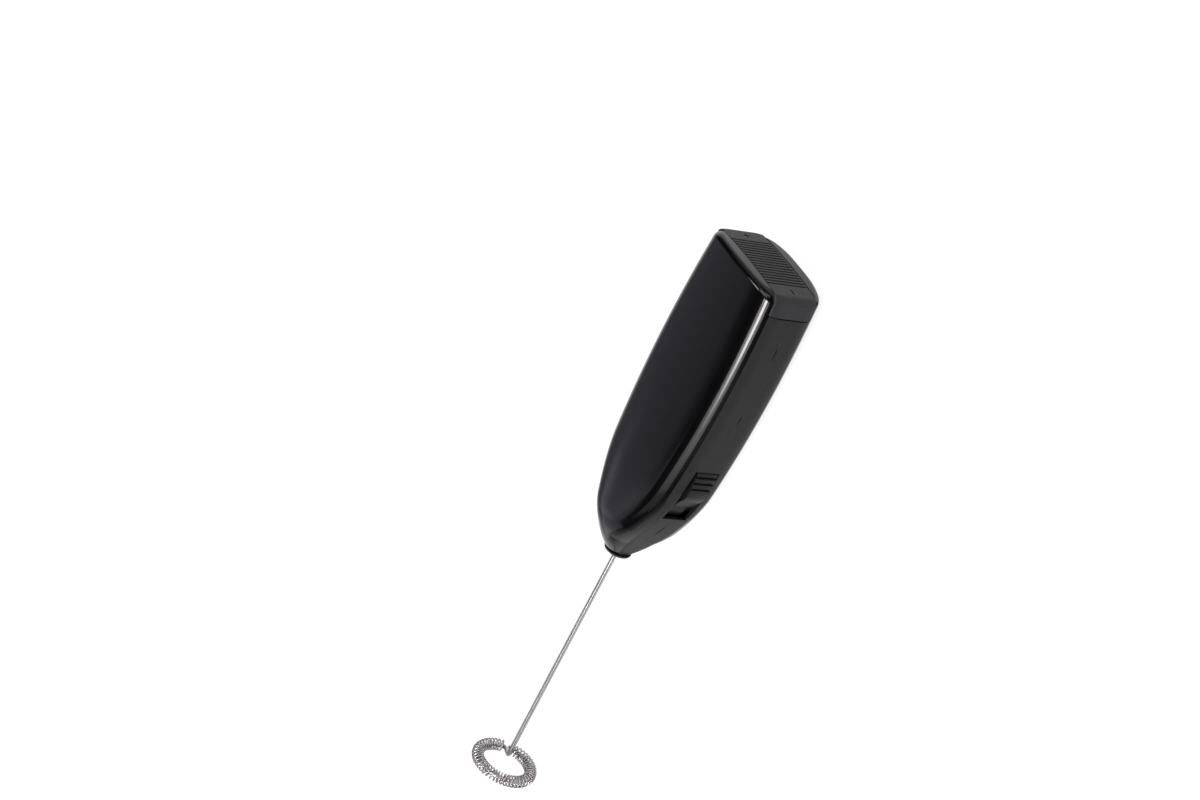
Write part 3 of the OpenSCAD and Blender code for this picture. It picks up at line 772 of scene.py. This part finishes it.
def battery_cover():
    half = COVER_W / 2
    edge = [(0.0, 0.3), (0.08, 0.12), (0.25, 0.0)]      # how the cover's long edges are rounded over
    crowned = [4.4, 4.8, 5.3, 5.8, 6.3]                 # heights where its two ends curve inwards
    stations = [(-half + z, inset, 0) for z, inset in edge]
    stations += [(-half + 0.65, 0, 0), (-half + 0.85, 0, 0.8 * GROOVE_DEEP)]
    stations += [(z, 0, GROOVE_DEEP) for z in [-v for v in reversed(crowned)] + crowned + [6.8]]
    stations += [(half - z, inset, GROOVE_DEEP) for z, inset in reversed(edge)]
    rings = [[(NOSE_X + u, y, AXIS_Z + z) for u, y in cover_profile(z, inset, deep)]
             for z, inset, deep in stations]
    obj = loft("cover_skin", rings)
    mark = END_HALF - 4.4
    marks = [bar(HANDLE_LEN - 1.1, HANDLE_LEN + 1, -mark - 1.15, -mark + 1.15, -0.22, 0.22),
             bar(HANDLE_LEN - 1.1, HANDLE_LEN + 1, mark - 1.15, mark + 1.15, -0.22, 0.22),
             bar(HANDLE_LEN - 1.1, HANDLE_LEN + 1, mark - 0.22, mark + 0.22, -1.15, 1.15)]
    cut(obj, [merged("mark", [m]) for m in marks])
    return smooth(obj, 28)


def cover_tongues():
    """The two tongues that slide in the rims' grooves, as one strip through the cover."""
    root, tip = COVER_W / 2 - 0.3, COVER_W / 2 + 0.65
    parts = [bar(GROOVE_U + 0.1, GROOVE_U + 0.8, -END_HALF + 3.6, END_HALF - WALL - 1.2, low, high)
             for low, high in ((-tip, -root), (root, tip))]
    return smooth(bevel(merged("cover_tongues", parts), 0.12))


finish_piece(battery_cover(), "cover_black", "cover", "battery_cover")
finish_piece(cover_tongues(), "cover_black", "cover")


# ---------------------------------------------------------------------------------------------
# Nose collar
# ---------------------------------------------------------------------------------------------
def nose_collar():
    hole, lip_r, lip, plug = 1.7, 4.35 - SKIN, 0.9, 2.57
    rounded = [(-lip * math.sin(a), lip_r - lip + lip * math.cos(a)) for a in np.linspace(0, math.pi / 2, 10)]
    profile = [(2.6, hole), (2.6, plug), (0.0, plug)] + rounded \
        + [(-lip, hole + 0.75), (-lip + 0.12, hole + 0.4), (-lip + 0.55, hole)]
    return smooth(lathe("collar_ring", profile, 112), 35)


finish_piece(nose_collar(), "collar_black", "handle", "nose_collar")


# ---------------------------------------------------------------------------------------------
# Switch button
# ---------------------------------------------------------------------------------------------
THUMB = [(0, 0.25), (1.2, 0.4), (1.65, 0), (1.65, 0.95), (3.05, 1.05), (3.5, 0.65), (3.5, 1.5),
         (4.95, 1.6), (5.4, 1.2), (5.4, 2), (8, 2.1), (9.4, 1.85), (11.6, 0.85), (14.2, 0)]
THUMB_BACK = [(-14.2, PLATE_Y + SNUG), (0, PLATE_Y + SNUG)]


def switch_button():
    half = WINDOW_W / 2 - 0.75
    shift = WINDOW_LEN / 2 - 0.15
    outline = [(shift - x, -h) for x, h in THUMB] + [(shift + x, h) for x, h in THUMB_BACK]
    rings = [[SWITCH @ Vector((x, y, z)) for x, y in outline] for z in (-half, half)]
    thumb = smooth(bevel(loft("switch_thumb", rings), 0.12, 3, 20), 25)
    low, high, half, notch, chamfer = PLATE_X[0], PLATE_X[1], 5.2, 2.6, 2.2
    rings = []
    for y, end in ((PLATE_Y, low + chamfer), (PLATE_Y + 0.4, low), (PLATE_Y + 1, low)):
        plate_outline = [(end, -2.5), (low + notch, -2.5), (low + notch, -half), (high, -half), (high, half),
                         (end, half)]
        rings.append([SWITCH @ Vector((x, y, z)) for x, z in plate_outline])
    plate = smooth(bevel(loft("switch_plate", rings), 0.12, 2, 20), 25)
    return thumb, plate


thumb, plate = switch_button()
finish_piece(thumb, "switch_black", "switch", "switch_button")
finish_piece(plate, "switch_black", "switch")


# ---------------------------------------------------------------------------------------------
# Whisk: one bent wire, and the coil threaded on its ring
# ---------------------------------------------------------------------------------------------
RING_X = NOSE_X - RING_DROP
LEG_TURN = math.radians(70)
LEG_WAY = math.radians(-30)
BEND_R = 1.6
LEG_LEN = (RING_R - BEND_R * (1 - math.cos(LEG_TURN))) / math.sin(LEG_TURN)
BEND_X = RING_X + BEND_R * math.sin(LEG_TURN) + LEG_LEN * math.cos(LEG_TURN)


def ring_point(angle, radius=RING_R, x=RING_X):
    """A point of the ring's circle; angle is measured from the leg."""
    a = LEG_WAY + angle
    return np.array([x, radius * math.cos(a), AXIS_Z + radius * math.sin(a)])


def whisk_path():
    out = np.array([0, math.cos(LEG_WAY), math.sin(LEG_WAY)])
    along = np.array([1.0, 0, 0])
    centre = np.array([0, 0, AXIS_Z])
    straight = [centre + along * x for x in np.linspace(NOSE_X + 8.4, BEND_X, 60)]
    bend = [centre + along * (BEND_X - BEND_R * math.sin(a)) + out * BEND_R * (1 - math.cos(a))
            for a in np.linspace(0, LEG_TURN, 13)[1:]]
    start, corner, end = bend[-1], ring_point(0), ring_point(math.radians(16))
    turn_in = start + (corner - start) * 0.72
    leg = [start + (turn_in - start) * s for s in np.linspace(0, 1, 9)[1:]]
    tip = [turn_in * (1 - s) ** 2 + 2 * corner * s * (1 - s) + end * s ** 2
           for s in np.linspace(0, 1, 13)[1:]]
    circle = [ring_point(a) for a in np.radians(np.linspace(16, 351.5, 130))[1:]]
    return straight + bend + leg + tip + circle


def coil_path(steps=26):
    """An open helix round the ring's circle, with a slightly uneven pitch as a hand-wound one has."""
    r = (COIL_D - COIL_WIRE_D) / 2 - 0.12
    gap = math.asin((WIRE_D / 2 + COIL_WIRE_D / 2 + 0.05) / RING_R)
    last = COIL_TURNS * steps
    path = []
    for i in range(last + 1):
        share = i / last
        uneven = 0.010 * math.sin(share * 31) + 0.007 * math.sin(share * 73 + 1)
        a = gap + (2 * math.pi - 2 * gap) * share + uneven * math.sin(math.pi * share)
        q = 2 * math.pi * i / steps
        path.append(ring_point(a, RING_R + r * math.cos(q), RING_X + r * math.sin(q)))
    return path


finish_piece(rounded_tube("whisk_wire", whisk_path(), WIRE_D / 2, 20), "whisk_steel", "whisk", "whisk_shaft")
finish_piece(rounded_tube("coil_wire", coil_path(), COIL_WIRE_D / 2, 8, (1.0, 0.0, 0.0), 2),
             "coil_steel", "whisk", "whisk_coil")


# ---------------------------------------------------------------------------------------------
# CAD nodes that are shown as they are take their procedural finishes
# ---------------------------------------------------------------------------------------------
NODE_SLOTS = {p["node"]: p["material_slot"] for p in frame["record"]["subparts"]}
for name, obj in frame["nodes"].items():
    slot = NODE_SLOTS[name]
    for i in range(len(obj.data.materials)):
        obj.data.materials[i] = FINISHES[slot].material


# ---------------------------------------------------------------------------------------------
# Floor, lights and camera
# ---------------------------------------------------------------------------------------------
def floor(size=8.0, steps=8):
    half = size / 2
    grid = np.linspace(-half, half, steps + 1) / MM
    verts = [(x, y, 0) for y in grid for x in grid]
    n = steps + 1
    faces = [(j * n + i, j * n + i + 1, (j + 1) * n + i + 1, (j + 1) * n + i)
             for j in range(steps) for i in range(steps)]
    obj = make_object("studio_floor", verts, faces)
    obj.data.materials.append(floor_white().material)
    return obj


def look_along(back, up):
    """A rotation whose Z is back and whose Y is as near up as it can be."""
    z = Vector(back).normalized()
    x = Vector(up).cross(z).normalized()
    return Matrix((x, z.cross(x), z)).transposed().to_4x4()


def softbox(name, way, distance, size, power, up=(1, 0, 0), colour=(1, 1, 1), target=(0, 0, 0.012)):
    light = bpy.data.lights.new(name, "AREA")
    light.shape = "RECTANGLE"
    light.size, light.size_y = size
    light.energy = power
    light.color = colour
    obj = bpy.data.objects.new(name, light)
    bpy.context.scene.collection.objects.link(obj)
    way = Vector(way).normalized()
    obj.matrix_world = Matrix.Translation(Vector(target) + way * distance) @ look_along(way, up)
    return obj


KEY_DISTANCE = 0.8
KEY_START = -0.14               # x where every strip of the key light begins
KEY_STRIPS = [                  # x where it ends, radiance, width across, tilt in degrees
    (-0.268, 21.0, 0.19, 37.5), (-0.325, 12.0, 0.20, 37.5), (-0.37, 6.0, 0.22, 37.5),
    (-0.435, 1.8, 0.27, 38), (-0.50, 1.1, 0.36, 36), (-0.70, 0.7, 0.38, 39)]


def key_strips():
    """The key light: overlapping strips along the handle, so that it fades towards the nose."""
    for i, (end, radiance, across, tilt) in enumerate(KEY_STRIPS):
        wx = (KEY_START + end) / 2 / KEY_DISTANCE
        c, t = math.sqrt(1 - wx * wx), math.radians(tilt)
        along = (KEY_START - end) / c
        softbox("key_%d" % (i + 1), (wx, -c * math.sin(t), c * math.cos(t)), KEY_DISTANCE,
                (across, along), radiance * math.pi * across * along, colour=(1, 0.965, 0.975))


def world_light():
    """A bright horizon under a dim ceiling."""
    world = bpy.data.worlds.new("studio")
    bpy.context.scene.world = world
    world.use_nodes = True
    tree = world.node_tree
    background = tree.nodes["Background"]
    place = tree.nodes.new("ShaderNodeTexCoord")
    split = tree.nodes.new("ShaderNodeSeparateXYZ")
    ramp = tree.nodes.new("ShaderNodeValToRGB")
    ramp.color_ramp.elements[0].position = 0.10
    ramp.color_ramp.elements[0].color = (0.5, 0.5, 0.5, 1)
    ramp.color_ramp.elements[1].position = 0.30
    ramp.color_ramp.elements[1].color = (0.015, 0.015, 0.015, 1)
    tree.links.new(place.outputs["Generated"], split.inputs[0])
    tree.links.new(split.outputs["Z"], ramp.inputs[0])
    tree.links.new(ramp.outputs["Color"], background.inputs["Color"])


# The camera as fitted to the outline in the photo, in metres
CAMERA_FROM = (0.4414, -0.6743, 0.6367)
CAMERA_BACK = (0.4418, -0.6742, 0.5918)
CAMERA_UP = (0.7972, 0.5977, 0.0858)
LENS = 106.6


def camera():
    data = bpy.data.cameras.new("camera")
    data.lens = LENS
    data.sensor_width = 36
    data.clip_start = 0.01
    obj = bpy.data.objects.new("camera", data)
    bpy.context.scene.collection.objects.link(obj)
    obj.matrix_world = Matrix.Translation(CAMERA_FROM) @ look_along(CAMERA_BACK, CAMERA_UP)
    bpy.context.scene.camera = obj


floor()
world_light()
key_strips()
softbox("face_card", (-0.43, 0.712, 0.556), 1.0, (0.71, 0.65), 0.6, colour=(0.98, 0.97, 1.13))
softbox("nose_card", (-0.80, 0.36, 0.485), 1.0, (0.82, 0.87), 1.85, colour=(0.98, 0.97, 1.1))
softbox("end_glint", (0.08, 0.33, 0.92), 0.8, (0.22, 0.26), 1.6)
softbox("side_card", (-0.44, -0.67, 0.5), 1.0, (0.5, 0.25), 0.18)
softbox("end_card", (0.78, 0.28, 0.56), 1.2, (1.3, 0.6), 1.1)
softbox("overhead", (0.5, -0.25, 0.83), 1.3, (0.9, 0.9), 9.0)
softbox("fill", (0.75, -0.5, 0.35), 1.4, (0.8, 0.6), 3.0)
camera()
bpy.context.scene.view_settings.view_transform = "Standard"
